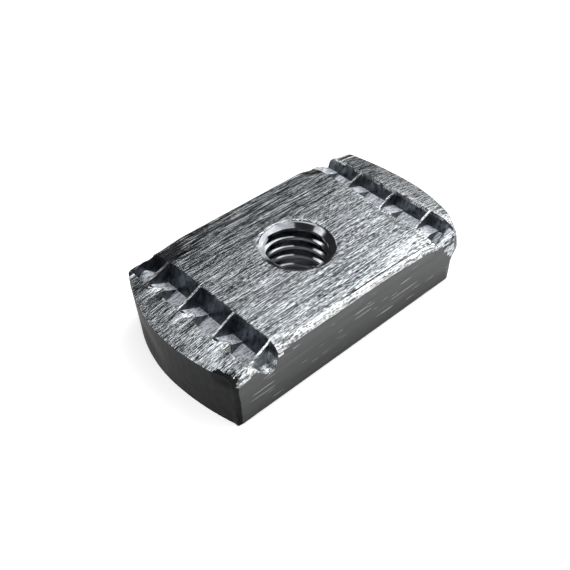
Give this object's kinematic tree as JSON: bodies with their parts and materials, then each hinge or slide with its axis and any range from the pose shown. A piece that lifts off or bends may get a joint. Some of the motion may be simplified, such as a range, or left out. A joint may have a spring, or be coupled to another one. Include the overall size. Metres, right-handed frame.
{
  "type": "channel nut",
  "caption": "Flat steel nut for slotted channel: threaded hole through a long block, a toothed groove across each end, two opposite corners rounded.",
  "frame": {"origin": "on the thread axis at the flat back face, which is the middle of the box's bottom", "axes": "+X along the nut's length, +Y across it along the channel's slot when turned into place, +Z along the thread from the flat back to the toothed face"},
  "size_m": [0.0352, 0.019, 0.0069],
  "materials": {
    "channel_nut": "bright zinc plated, drawn and pressed"
  },
  "bodies": {
    "root": {"channel_nut": "channel_nut"}
  },
  "joints": []
}
